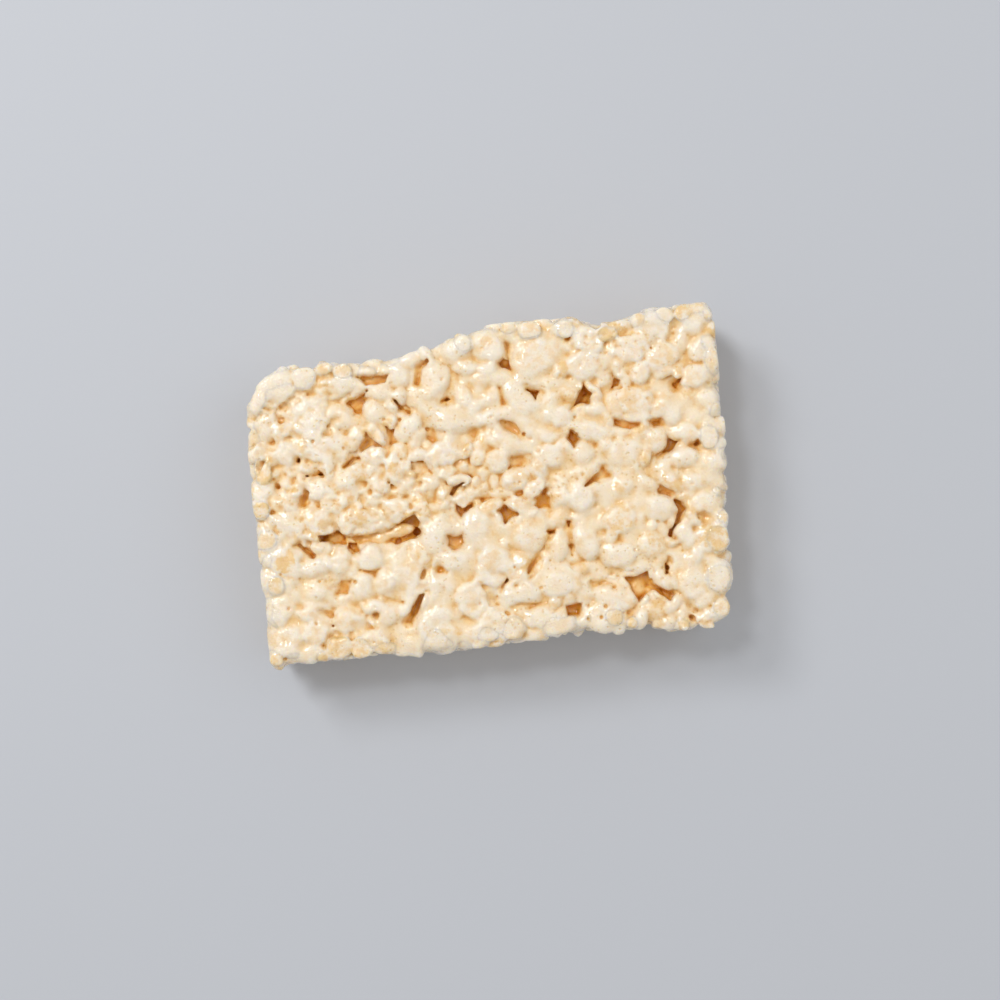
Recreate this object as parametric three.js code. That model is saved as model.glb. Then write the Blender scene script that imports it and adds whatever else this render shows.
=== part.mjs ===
// A crispy rice treat: one block of puffed rice bound with marshmallow, pressed flat on top, cut to a rough
// rectangle, and lying on the face that the pan pressed. Rice and marshmallow are one mass, so it is one
// solid, whose skin rises over every grain that shows and sinks between them.
// Millimetres, +Z up, X along the length. The origin is under the middle, on the resting face.
import * as THREE from "three";
import { ConvexHull } from "three/addons/math/ConvexHull.js";

// The block
const LENGTH = 98;
const WIDTH = 65;
const THICKNESS = 22;
const SHOULDER = 2; // how far below the top the cut walls begin
const SCALLOP = 0.35; // how far the shoulder dips between two grains, as a share of the wall's own dip
const FOOT_IN = 0.7; // how far the resting face is drawn in from the walls

// A puffed grain in its coat of marshmallow
const LONGEST_GRAIN = 9.4;
const SHORTEST_GRAIN = 5.4;
const LENGTH_SPREAD = 0.08;
const PLUMPNESS = 0.62; // width over length
const PLUMPNESS_SPREAD = 0.1;
const FLATNESS = 0.84; // thickness over width
const CROWDING = 0.7; // how near two grains lie, where 1 only touches
const UNEVEN = 1.2; // how far a grain may lie below the pressed face
const LEAN = 0.16; // steepest slope of a grain along its length
const RICE_DEPTH = 2.6; // how far below the face the marshmallow between the grains lies
const GRAIN_TRIES = 5000; // places tried on a face, most of them too near to another grain
const EDGE_CLEAR = 1.4; // between the shoulder and the middle of a grain of the top
const WALL_GRAINS_FROM = 0.8; // height of the lowest middle of a grain in the walls

// The skin's points
const RIM_STEP = 2.3; // between two points of a rim
const RIM_CLEAR = 1.45; // between a rim's edge and the skin's other points
const SPOKES = 8; // directions in which a grain is followed down to its neighbours
const SPOKE_FROM = 0.2; // where the search for the neighbour begins, as a share of the grain's reach
const SPOKE_STEP = 0.04;
const CREST = 0.58; // where a grain's round top turns down, as a share of the way to its neighbour
const LEAST_APART = 0.95; // between two points of the skin

// The pits that the grains leave in the resting face
const PIT_TRIES = 260;
const PIT_CLEAR = 4; // between the foot rim and the middle of a pit
const PIT_SHARE = 0.4; // of a grain's size
const PIT_DEPTH = 1.3;
const PIT_SIDES = 5;

// The cut edge seen from above, anticlockwise from the front left corner, as shares of half the length and
// half the width.
const EDGE = [
  [-0.967, -0.985],
  [-0.612, -0.991],
  [-0.204, -1.015],
  [0.245, -0.985],
  [0.633, -0.997],
  [0.771, -1.045],
  [0.93, -0.972],
  [0.957, -0.615],
  [0.986, -0.062],
  [1.0, 0.431],
  [1.01, 0.769],
  [0.975, 1.005],
  [0.735, 0.995],
  [0.551, 0.954],
  [0.327, 1.03],
  [0.041, 0.997],
  [-0.143, 0.935],
  [-0.347, 0.865],
  [-0.776, 0.872],
  [-0.924, 0.785],
  [-0.99, 0.492],
  [-1.0, 0.0],
  [-0.988, -0.462],
  [-0.998, -0.861],
];
const EDGE_DIVISIONS = 2000; // in which the length along the edge is measured

// The deep gaps that show from above: place of the middle, length, width, and turn in degrees.
const GAP_DEPTH = 3.4;
const GAPS = [
  { x: -33, y: -7.2, long: 9, wide: 2, turn: -6 },
  { x: -29, y: -9.6, long: 2.6, wide: 2.2, turn: 0 },
  { x: -18.5, y: -6.8, long: 9, wide: 3.4, turn: -12 },
  { x: -9, y: -10, long: 3.2, wide: 2.6, turn: -30 },
  { x: -6.4, y: -1.2, long: 5.8, wide: 2.2, turn: -62 },
  { x: 5.9, y: 26, long: 5.8, wide: 2, turn: 76 },
  { x: -21.5, y: 24.4, long: 6, wide: 2.2, turn: 0 },
  { x: -25, y: 20.4, long: 4.6, wide: 2.6, turn: 30 },
  { x: -16, y: 18, long: 4.4, wide: 1.7, turn: -40 },
  { x: -23.5, y: 12.4, long: 5, wide: 2.2, turn: -24 },
  { x: -36.5, y: 6.2, long: 4.4, wide: 1.8, turn: 0 },
  { x: -38.8, y: 9.4, long: 2.2, wide: 1.8, turn: 0 },
  { x: 10.9, y: 17.9, long: 2.6, wide: 1.9, turn: -25 },
  { x: 20.4, y: 16.2, long: 6, wide: 2.1, turn: 56 },
  { x: 27.8, y: 18.6, long: 3, wide: 2.2, turn: 80 },
  { x: 40.3, y: 17, long: 2.4, wide: 1.9, turn: 40 },
  { x: 18, y: 8.6, long: 5, wide: 2.1, turn: -50 },
  { x: 35, y: 9.6, long: 3.2, wide: 1.8, turn: 0 },
  { x: 37.4, y: 4, long: 4.8, wide: 1.7, turn: 34 },
  { x: 10.8, y: -4, long: 3.2, wide: 2.8, turn: 0 },
  { x: 2.6, y: -6.4, long: 3.2, wide: 2.4, turn: -45 },
  { x: 15.4, y: -15.4, long: 5.2, wide: 1.7, turn: -72 },
  { x: 37.8, y: -9.6, long: 6.6, wide: 2, turn: 66 },
  { x: 30.2, y: -22.8, long: 6.4, wide: 3.4, turn: -38 },
  { x: 14.6, y: -27, long: 3, wide: 2.1, turn: 0 },
  { x: -32.4, y: -17, long: 3.6, wide: 2.4, turn: 20 },
  { x: -18, y: -24, long: 4.6, wide: 1.7, turn: 40 },
];

// Draws numbers from 0 to 1, the same ones in every run.
const MODULUS = 2147483647;
const MULTIPLIER = 16807;
let seed = 4127;
function draw() {
  seed = (seed * MULTIPLIER) % MODULUS;
  return seed / MODULUS;
}

// Draws a number from minus 1 to 1.
function drawEitherWay() {
  return 2 * draw() - 1;
}

// An oval lies at u, v in a face: across x and y on the top, along the edge and up on the walls.

// How far an oval reaches from its middle in a direction.
function reach({ long, wide, turn }, direction) {
  return 0.5 / Math.hypot(Math.cos(direction - turn) / long, Math.sin(direction - turn) / wide);
}

// The way from one place to another in a face that comes back to its start after round.
function between(from, to, round) {
  const du = to.u - from.u;
  return { du: Number.isFinite(round) ? du - round * Math.round(du / round) : du, dv: to.v - from.v };
}

function tooNear(a, b, round) {
  const { du, dv } = between(a, b, round);
  const apart = Math.hypot(du, dv);
  if (apart > LONGEST_GRAIN) return false;
  const direction = Math.atan2(dv, du);
  return apart < CROWDING * (reach(a, direction) + reach(b, direction));
}

// Lays grains over a face, the largest first, wherever there is room beside the others and the gaps.
function layGrains({ uFrom, uTo, vFrom, vTo, round, gaps, fits, tries }) {
  const laid = [];
  for (let i = 0; i < tries; i += 1) {
    const size = THREE.MathUtils.lerp(LONGEST_GRAIN, SHORTEST_GRAIN, Math.sqrt(i / tries));
    const long = size * (1 + LENGTH_SPREAD * drawEitherWay());
    const grain = {
      u: THREE.MathUtils.lerp(uFrom, uTo, draw()),
      v: THREE.MathUtils.lerp(vFrom, vTo, draw()),
      long,
      wide: long * PLUMPNESS * (1 + PLUMPNESS_SPREAD * drawEitherWay()),
      turn: Math.PI * draw(),
      lean: LEAN * drawEitherWay(),
      sunk: UNEVEN * draw(),
    };
    const blocked = (other) => tooNear(grain, other, round);
    if (fits(grain) && !gaps.some(blocked) && !laid.some(blocked)) laid.push(grain);
  }
  return laid;
}

// A face's relief in millimetres, where 0 is the pressed or cut face: grains as ovals, over marshmallow
// that sinks further in the gaps.
function reliefOf(grains, gaps, round) {
  const shareOut = (oval, place) => {
    const { du, dv } = between(oval, place, round);
    const along = du * Math.cos(oval.turn) + dv * Math.sin(oval.turn);
    const across = dv * Math.cos(oval.turn) - du * Math.sin(oval.turn);
    return { along, share: Math.hypot((2 * along) / oval.long, (2 * across) / oval.wide) };
  };
  const grainAt = (grain, place) => {
    const { along, share } = shareOut(grain, place);
    if (share >= 1) return -Infinity;
    const half = (grain.wide * FLATNESS) / 2;
    return half * (Math.sqrt(1 - share * share) - 1) - grain.sunk + grain.lean * along;
  };
  const bedAt = (place) => {
    const deepest = Math.max(0, ...gaps.map((gap) => 1 - shareOut(gap, place).share ** 2));
    return -RICE_DEPTH - GAP_DEPTH * Math.sqrt(deepest);
  };
  const heightAt = (place, without) => {
    const others = grains.filter((grain) => grain !== without);
    return Math.max(bedAt(place), ...others.map((grain) => grainAt(grain, place)));
  };
  return { grainAt, heightAt };
}

// The places at which the skin follows a face's relief: every grain's middle, the creases where it meets its
// neighbours, the round tops between the two, and the bottoms of the gaps.
function skinPlaces(grains, gaps, relief, fits) {
  const places = [];
  const add = (place, apart) => {
    const clear = places.every((other) => Math.hypot(other.u - place.u, other.v - place.v) > apart);
    if (clear && fits(place)) places.push(place);
  };
  const onSpoke = (grain, spoke, share) => {
    const direction = grain.turn + (2 * Math.PI * spoke) / SPOKES;
    const out = share * reach(grain, direction);
    return { u: grain.u + out * Math.cos(direction), v: grain.v + out * Math.sin(direction) };
  };
  const creases = [];
  const crests = [];
  const showing = grains.filter((grain) => relief.grainAt(grain, grain) > relief.heightAt(grain, grain));
  for (const grain of showing) {
    add({ u: grain.u, v: grain.v }, 0);
    for (let spoke = 0; spoke < SPOKES; spoke += 1) {
      let share = SPOKE_FROM;
      const covered = () => {
        const place = onSpoke(grain, spoke, share);
        return relief.heightAt(place, grain) >= relief.grainAt(grain, place);
      };
      while (share < 1 && !covered()) share += SPOKE_STEP;
      creases.push(onSpoke(grain, spoke, share));
      crests.push(onSpoke(grain, spoke, share * CREST));
    }
  }
  for (const gap of gaps) {
    const half = (gap.long - gap.wide) / 2;
    for (const out of [0, half, -half]) {
      add({ u: gap.u + out * Math.cos(gap.turn), v: gap.v + out * Math.sin(gap.turn) }, LEAST_APART);
    }
  }
  for (const place of [...creases, ...crests]) add(place, LEAST_APART);
  return places;
}

// Joins points of a plane into triangles whose circles hold no other point: the underside of the hull that
// the points have once each is lifted onto a bowl. Seen from above they turn anticlockwise.
function triangulate(points) {
  const lift = ({ x, y }, index) => Object.assign(new THREE.Vector3(x, y, x * x + y * y), { index });
  const hull = new ConvexHull().setFromPoints(points.map(lift));
  const lower = hull.faces.filter((face) => face.normal.z < 0);
  return lower.map(({ edge }) => [edge.next, edge, edge.prev].map((side) => side.head().point.index));
}

// The cut edge as a smooth closed line, with the way along it and out of it.
const edgeLine = new THREE.CatmullRomCurve3(
  EDGE.map(([x, y]) => new THREE.Vector3((x * LENGTH) / 2, (y * WIDTH) / 2, 0)),
  true,
);
edgeLine.arcLengthDivisions = EDGE_DIVISIONS;
const edgeLength = edgeLine.getLength();
const rimCount = Math.round(edgeLength / RIM_STEP);

// The point of a wall at u along the edge and v up, moved out of the cut face by out.
function onWall(u, v, out) {
  const share = THREE.MathUtils.euclideanModulo(u / edgeLength, 1);
  const along = edgeLine.getTangentAt(share);
  return edgeLine.getPointAt(share).add(new THREE.Vector3(along.y * out, -along.x * out, v));
}

// The walls: grains all round, from the foot to the shoulder.
const wallTop = THICKNESS - SHOULDER;
const wallGrains = layGrains({
  uFrom: 0,
  uTo: edgeLength,
  vFrom: WALL_GRAINS_FROM,
  vTo: wallTop,
  round: edgeLength,
  gaps: [],
  fits: () => true,
  tries: GRAIN_TRIES,
});
const wallRelief = reliefOf(wallGrains, [], edgeLength);

// The two rims, where the walls meet the top and the resting face.
const rimPlaces = Array.from({ length: rimCount }, (_, i) => (i * edgeLength) / rimCount);
const topRim = rimPlaces.map((u) => {
  const sunk = wallRelief.heightAt({ u, v: wallTop });
  return onWall(u, wallTop + SCALLOP * sunk, sunk / 2);
});
const footRim = rimPlaces.map((u) => onWall(u, 0, wallRelief.heightAt({ u, v: 0 }) / 2 - FOOT_IN));

// True if a point seen from above lies within a rim and clear of it.
function inside(rim, x, y, clear) {
  let odd = false;
  for (let i = 0; i < rim.length; i += 1) {
    const a = rim[i];
    const b = rim[(i + 1) % rim.length];
    if (Math.hypot((a.x + b.x) / 2 - x, (a.y + b.y) / 2 - y) < clear) return false;
    if (a.y > y !== b.y > y && x < a.x + ((y - a.y) * (b.x - a.x)) / (b.y - a.y)) odd = !odd;
  }
  return odd;
}

// The top: grains pressed level, and the gaps between them.
const fromAbove = { uFrom: -LENGTH / 2, uTo: LENGTH / 2, vFrom: -WIDTH / 2, vTo: WIDTH / 2, round: Infinity };
const { degToRad } = THREE.MathUtils;
const topGaps = GAPS.map(({ x, y, turn, ...size }) => ({ u: x, v: y, turn: degToRad(turn), ...size }));
const topGrains = layGrains({
  ...fromAbove,
  gaps: topGaps,
  fits: ({ u, v }) => inside(topRim, u, v, EDGE_CLEAR),
  tries: GRAIN_TRIES,
});
const topRelief = reliefOf(topGrains, topGaps, Infinity);
const topPlaces = skinPlaces(topGrains, topGaps, topRelief, ({ u, v }) => inside(topRim, u, v, RIM_CLEAR));
const topSkin = topPlaces.map((place) => {
  const z = THICKNESS + topRelief.heightAt(place);
  return new THREE.Vector3(place.u, place.v, z);
});

// The walls' skin, unrolled between the two rims.
const offRims = ({ v }) => v > RIM_CLEAR && v < wallTop - RIM_CLEAR;
const wallPlaces = skinPlaces(wallGrains, [], wallRelief, offRims);
const wallSkin = wallPlaces.map(({ u, v }) => onWall(u, v, wallRelief.heightAt({ u, v })));

// The resting face: flat where the pan pressed the rice, with a pit wherever the grains left room.
const pits = layGrains({
  ...fromAbove,
  gaps: [],
  fits: ({ u, v }) => inside(footRim, u, v, PIT_CLEAR),
  tries: PIT_TRIES,
});
const footSkin = pits.flatMap((pit) => {
  const brim = Array.from({ length: PIT_SIDES }, (_, side) => {
    const direction = (2 * Math.PI * side) / PIT_SIDES;
    const out = PIT_SHARE * reach(pit, direction);
    return new THREE.Vector3(pit.u + out * Math.cos(direction), pit.v + out * Math.sin(direction), 0);
  });
  return [new THREE.Vector3(pit.u, pit.v, (PIT_DEPTH * (UNEVEN + pit.sunk)) / (2 * UNEVEN)), ...brim];
});

// All the skin's points, and the triangles between them.
const points = [...topRim, ...footRim, ...topSkin, ...wallSkin, ...footSkin];
const topFrom = 2 * rimCount;
const wallFrom = topFrom + topSkin.length;
const footFrom = wallFrom + wallSkin.length;
const triangles = [];

// Joins a face that a rim goes round, as seen from above, without what lies outside a hollow of the rim.
function joinFace(rim, skin, indexOf, turned) {
  const all = [...rim, ...skin];
  for (const corners of triangulate(all)) {
    const sum = corners.reduce((total, i) => total.add(all[i]), new THREE.Vector3());
    const middle = sum.divideScalar(corners.length);
    const order = turned ? corners.reverse() : corners;
    if (inside(rim, middle.x, middle.y, 0)) triangles.push(...order.map(indexOf));
  }
}
joinFace(topRim, topSkin, (i) => (i < rimCount ? i : topFrom + i - rimCount), false);
joinFace(footRim, footSkin, (i) => (i < rimCount ? rimCount + i : footFrom + i - rimCount), true);

// The walls are joined as a flat ring: the foot is its inner circle and the shoulder its outer one.
const onRing = ({ u, v }) => {
  const angle = (2 * Math.PI * u) / edgeLength;
  const radius = Math.exp((2 * Math.PI * v) / edgeLength);
  return { x: radius * Math.cos(angle), y: radius * Math.sin(angle) };
};
const ring = [
  ...rimPlaces.map((u) => onRing({ u, v: wallTop })),
  ...rimPlaces.map((u) => onRing({ u, v: 0 })),
  ...wallPlaces.map(onRing),
];
const wallIndex = (i) => (i < topFrom ? i : wallFrom + i - topFrom);
const onFoot = (i) => i >= rimCount && i < topFrom;
for (const corners of triangulate(ring)) {
  if (!corners.every(onFoot)) triangles.push(...corners.reverse().map(wallIndex));
}

const geometry = new THREE.BufferGeometry().setFromPoints(points);
geometry.setIndex(triangles);
geometry.computeVertexNormals();

const marshmallowRice = new THREE.MeshStandardMaterial({ color: 0xf2dcba, roughness: 0.42, metalness: 0 });
const treat = new THREE.Mesh(geometry, marshmallowRice);
treat.name = "crispy_rice_treat";

const group = new THREE.Group();
group.add(treat);
export default group;
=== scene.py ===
import math

import bpy
import numpy as np
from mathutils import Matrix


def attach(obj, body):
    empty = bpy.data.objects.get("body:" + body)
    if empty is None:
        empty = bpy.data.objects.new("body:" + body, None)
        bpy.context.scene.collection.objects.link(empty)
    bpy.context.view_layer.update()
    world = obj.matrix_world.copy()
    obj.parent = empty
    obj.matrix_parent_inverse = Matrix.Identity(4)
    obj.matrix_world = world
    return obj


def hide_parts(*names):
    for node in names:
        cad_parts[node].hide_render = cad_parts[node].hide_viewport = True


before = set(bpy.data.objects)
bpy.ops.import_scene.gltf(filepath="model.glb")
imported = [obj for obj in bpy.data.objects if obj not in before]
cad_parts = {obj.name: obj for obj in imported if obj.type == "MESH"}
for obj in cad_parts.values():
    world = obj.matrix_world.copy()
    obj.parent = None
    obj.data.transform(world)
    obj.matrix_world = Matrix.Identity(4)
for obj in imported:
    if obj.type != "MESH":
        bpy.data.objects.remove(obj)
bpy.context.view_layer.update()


# The pressed top
# The upper layer of the block: puffed rice grains coated and bound with melted marshmallow, tipped into a
# pan and pressed level while warm, so that most lumps have a flat crown and webs of marshmallow between them.
# Lengths are millimetres here, and become metres where a mesh is made.

LENGTH, WIDTH, THICKNESS = 98, 65, 22
cell = 0.26  # how finely the block is worked out

# Openings between the lumps: how deep, then the corners of the mouth.
OPENINGS_BACK = [
    (1.8, (-44.8, 20.7), (-43.2, 19.9), (-41.4, 19.5), (-39.6, 20.7), (-38.1, 22.4), (-40, 21.3),
     (-41.8, 20.6)),
    (4.5, (-38, 6.6), (-34, 6.5), (-33.8, 5.6), (-37.8, 5.3)),
    (2.6, (-39.2, 0.2), (-38.4, 0), (-37.2, 2.6), (-37.8, 3.2)),
    (3.2, (-24.8, 25.1), (-23.6, 25.4), (-18.2, 25.1), (-19, 23.2), (-23.2, 23)),
    (3.6, (-28, 20), (-27, 20.6), (-23.3, 22), (-24.8, 18), (-26, 18.4)),
    (3.6, (-18, 19.9), (-17.4, 19.5), (-14.6, 16.9), (-14.9, 16.4), (-16.8, 17.6)),
    (3.2, (-24.3, 13.7), (-20.7, 10.1), (-23.2, 11.2), (-25.6, 10)),
    (2.4, (-20.3, 14.6), (-19.5, 14.4), (-18.6, 11.2), (-19.2, 11)),
    (2.6, (-29.5, 6.9), (-27.5, 9.1), (-26.3, 8.5)),
    (2.2, (-26.9, 1.2), (-26.3, 1), (-26, -1.9), (-26.5, -2)),
    (2.2, (-13.2, 22.4), (-12.6, 22.2), (-11.8, 25.4), (-9.9, 26.8), (-10.2, 27.3), (-12.4, 26.2)),
    (4.0, (-7.9, 18.4), (-6.9, 19.3), (-6.2, 18.6), (-7, 18.2)),
    (4.6, (-8.6, -0.9), (-7.9, -1.2), (-5, 1.2), (-5.6, 1.7), (-7.5, 0.5)),
    (4.6, (4.2, 25), (5.4, 25.9), (6.6, 25.4), (6.9, 23.1), (5, 24)),
    (3.0, (5.9, 25.6), (6.6, 25.4), (7, 28.6), (6.3, 29)),
    (4.2, (9.5, 18.9), (12.1, 18.5), (11.2, 16.8)),
    (2.4, (3.7, 20.2), (4.3, 20), (4.8, 16.6), (4.2, 16.4)),
    (4.6, (17.4, 10.1), (18.2, 9.6), (19.2, 7.8), (18, 6.1), (16.8, 8)),
    (4.6, (21.3, 18.9), (22.7, 16.8), (21.9, 14.9), (20, 15), (18.2, 14), (19.6, 15.8)),
    (4.8, (27.4, 20.3), (29.1, 19), (28.8, 17.4), (26.8, 17.4)),
    (4.6, (41.4, 17.9), (40.2, 16.1), (39.5, 16.9)),
    (4.4, (33.7, 10), (36.4, 10.3), (36.6, 9), (34.8, 8.5)),
    (4.4, (37.3, 6.6), (39.7, 5.2), (38, 3.5), (34.6, 1.9), (34.9, 2.4), (37, 4.4)),
    (4.0, (42.4, 4.1), (43.4, 4.9), (44, 4.2), (43, 3.7)),
    (2.6, (26.9, 10.9), (32, 9.6), (31.8, 9), (28.4, 9.1), (27.2, 10)),
    (3.0, (23.6, 1.1), (24.5, -0.2), (19.5, -2), (21.8, 0)),
]
OPENINGS_FRONT = [
    (4.6, (-36.3, -6.4), (-35, -6.5), (-32, -5.6), (-30.5, -7.3), (-30.3, -9.3), (-33, -8.5), (-36, -7.6)),
    (5.6, (-30.4, -8.4), (-28.4, -8.6), (-28.2, -10.6), (-29.4, -11), (-30.5, -9.6)),
    (3.4, (-30.5, -7.3), (-27, -7.5), (-24, -7), (-19, -5.5), (-16, -4), (-15.2, -6), (-16, -9), (-20, -10),
     (-24, -9.4), (-28.2, -8.9)),
    (3.4, (-41.4, -7.8), (-40.2, -7.5), (-39.4, -8.4), (-37.2, -10.6), (-37.7, -11), (-40, -8.9)),
    (3.0, (-28.4, -14.4), (-24.1, -14.5), (-25.5, -16.1)),
    (3.2, (-33.6, -18.8), (-32.5, -16.4), (-30.3, -16.3), (-31.6, -18.8)),
    (2.4, (-24.1, -20.2), (-20, -21.7), (-20.1, -22.2), (-23.6, -21)),
    (3.0, (-15.9, -20.7), (-16.7, -20.7), (-18.4, -23.2), (-19.9, -26.1), (-19, -26.3), (-17.2, -23.6)),
    (3.4, (-9.7, -9.3), (-6.7, -9.3), (-6.6, -11), (-8.6, -12.2), (-9.8, -11.3)),
    (4.4, (-7.9, -2.6), (-7.2, -2.8), (-6.4, -4.4), (-4, -3.2), (-4, -3.8), (-6.6, -5.6), (-7.4, -4.4)),
    (4.0, (1.1, -5.2), (2.4, -3.9), (4.7, -6.2), (2.3, -8)),
    (3.4, (9.2, -3.4), (10.8, -2.4), (12, -3.6), (11.8, -5.6), (9.6, -5.4)),
    (4.6, (10.8, -10.5), (12.4, -10.2), (12.3, -11.1), (11, -11.2)),
    (2.2, (11.2, -11), (11.9, -11.3), (7.6, -17), (6, -18.6), (6.4, -17)),
    (4.6, (14.9, -8.7), (15.9, -8.8), (15.7, -10.4), (14.9, -10.2)),
    (2.4, (15.1, -10.2), (15.5, -10.2), (15.6, -14), (15.1, -14)),
    (4.6, (14.9, -13.8), (15.7, -13.9), (15.8, -16.4), (15, -16.2)),
    (3.6, (12.9, -26.1), (16.3, -25.9), (15.4, -28.1), (13.2, -28.1)),
    (3.4, (34.3, -4.3), (36.9, -5.2), (36.6, -5.9), (34.4, -5.2)),
    (4.0, (37.4, -6.8), (38.6, -7.2), (39.5, -8.8), (38.2, -11.4), (35.8, -14.2), (35.4, -13.8), (37.2, -11),
     (38.2, -8.8)),
    (1.6, (41.8, -10.2), (43.2, -9.9), (44.3, -10.9), (43, -11.6)),
    (4.4, (25.6, -21.6), (30.5, -20.6), (31.2, -23.5), (35.3, -26), (34.5, -27.3), (31, -24.5), (28, -27),
     (26.8, -24.5)),
    (3.6, (33.9, -19.4), (34.8, -19.2), (34.8, -21.8), (34, -21.8)),
    (2.4, (19, -22.1), (21, -21.7), (23.2, -22.7), (21, -22.6), (19.1, -22.6)),
    (1.8, (23, -19.4), (24.6, -19.7), (24.4, -20.2), (23, -20)),
]

# Rounder holes: middle x and y, length, width, turn in degrees, depth.
HOLES = [
    (-38.7, 9.3, 1.6, 1.4, 80, 4.6), (-43.4, 4.3, 1.3, 0.9, 90, 3), (-46.8, 8.5, 4, 1, 50, 1.8),
    (-47.3, 14.5, 3, 1.5, 60, 1.4), (-30.4, 21.4, 2.5, 1.4, -40, 1.4), (-30.4, 16.7, 1.8, 0.7, 30, 1.2),
    (-32, 14.2, 1.5, 0.9, 0, 1.2), (-7, 26.8, 2.4, 1, -30, 1.4), (-10.8, 11.3, 4, 1.8, 10, 1.6),
    (-2.3, 11.2, 2, 1.3, 20, 2), (6.5, 4.6, 4, 1.6, -12, 2.2), (-14, 5.2, 4, 1.6, 15, 2.2),
    (-14.4, 2, 1.4, 1.2, 90, 3), (4.9, 12, 3.4, 1.2, -35, 2), (40, 26.7, 2, 1, 40, 1.6),
    (30, 28.8, 6, 1.4, -10, 1.6), (22.5, 8.3, 3, 0.7, -20, 0.7), (23.3, 11.5, 3, 0.7, -20, 0.7),
    (-16, -7.8, 2, 2, 0, 5.6), (-20, -9.3, 1.6, 1.5, 0, 5), (-26.1, -24, 1.4, 1, 90, 2),
    (-36.5, -22.3, 2.4, 0.8, -28, 1.8), (-34.6, -27.2, 1.6, 1, 0, 1.4), (-41.4, -20.4, 1.4, 0.9, 0, 1.4),
    (-40.4, -28.3, 1.2, 0.9, 0, 1.4), (-15.5, -16.6, 2.4, 0.9, 65, 2.2), (-12, -16, 1, 0.9, 0, 1.6),
    (3.2, -20.9, 1.4, 0.9, 20, 1.6), (-2, -24, 1.2, 0.9, 0, 1.4), (30.3, -22.8, 1.8, 1.4, 0, 7),
    (16.5, -17.5, 1.6, 1, -40, 2.4), (36.7, -14.5, 1, 0.9, 0, 2.4), (25.7, -28.9, 1.1, 1, 0, 2.4),
    (23.2, -23.2, 1, 0.8, 0, 2), (38.5, -31.3, 1.4, 1, -50, 3),
]

OPENINGS = OPENINGS_BACK + OPENINGS_FRONT

# Lumps that stand out: middle x and y, length, width, turn in degrees, how far the crown is sunk, where less
# than nothing is pressed flat, and how toasted the rice in it is.
LUMPS_BACK_LEFT = [
    (-42.2, 23.3, 8.6, 4.8, 18, 0.0, 0.0),
    (-36.2, 18.2, 9.0, 7.2, 35, -0.2, 0.0),
    (-44.6, 17.0, 7.6, 5.2, 75, 0.3, 0.2),
    (-41.0, 11.4, 6.2, 5.2, 85, 0.2, 0.0),
    (-33.0, 11.6, 8.6, 6.8, 20, -0.1, 0.1),
    (-28.2, 23.6, 7.2, 4.6, 22, 0.0, 0.0),
    (-20.4, 21.5, 6.2, 3.2, -18, 0.2, 0.0),
    (-21.8, 17.4, 6.2, 4.8, -40, 0.2, 0.1),
    (-22.8, 8.8, 7.2, 4.6, 5, 0.2, 0.2),
    (-22.7, 2.7, 5.2, 4.3, 85, 0.1, 0.3),
    (-46.6, 4.0, 6.6, 5.6, 40, 0.2, 0.4),
    (-29.4, 17.6, 6.6, 4.8, -50, 0.4, 0.2),
    (-35.6, 25.6, 7.6, 4.6, -10, 0.4, 0.1),
    (-35.0, 2.9, 6.4, 4.6, 5, 0.1, 0.0),
    (-16.4, 24.3, 6.0, 5.2, 60, 0.2, 0.1),
    (-26.4, 13.0, 5.6, 2.8, 62, 0.5, 0.2),
    (-18.0, 8.6, 5.4, 4.2, 10, 0.3, 0.5),
    (-29.6, 3.6, 6.0, 4.6, 30, 0.2, 0.5),
    (-9.0, 23.4, 8.4, 6.4, 80, 0.0, 0.1),
    (-4.4, 28.0, 7.0, 5.6, 20, 0.1, 0.1),
    (-13.6, 27.4, 6.4, 3.6, 14, 0.7, 0.1),
    (-15.4, 13.6, 7.0, 4.4, 42, 0.1, 0.0),
    (-6.2, 14.0, 7.8, 6.2, 0, 0.0, 0.1),
    (-13.4, 19.2, 3.8, 3.2, 0, 0.6, 0.4),
    (-8.4, 7.4, 9.8, 5.6, 8, -0.1, 0.2),
    (-12.8, 1.8, 5.4, 4.4, 0, 0.5, 0.5),
]
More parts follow.
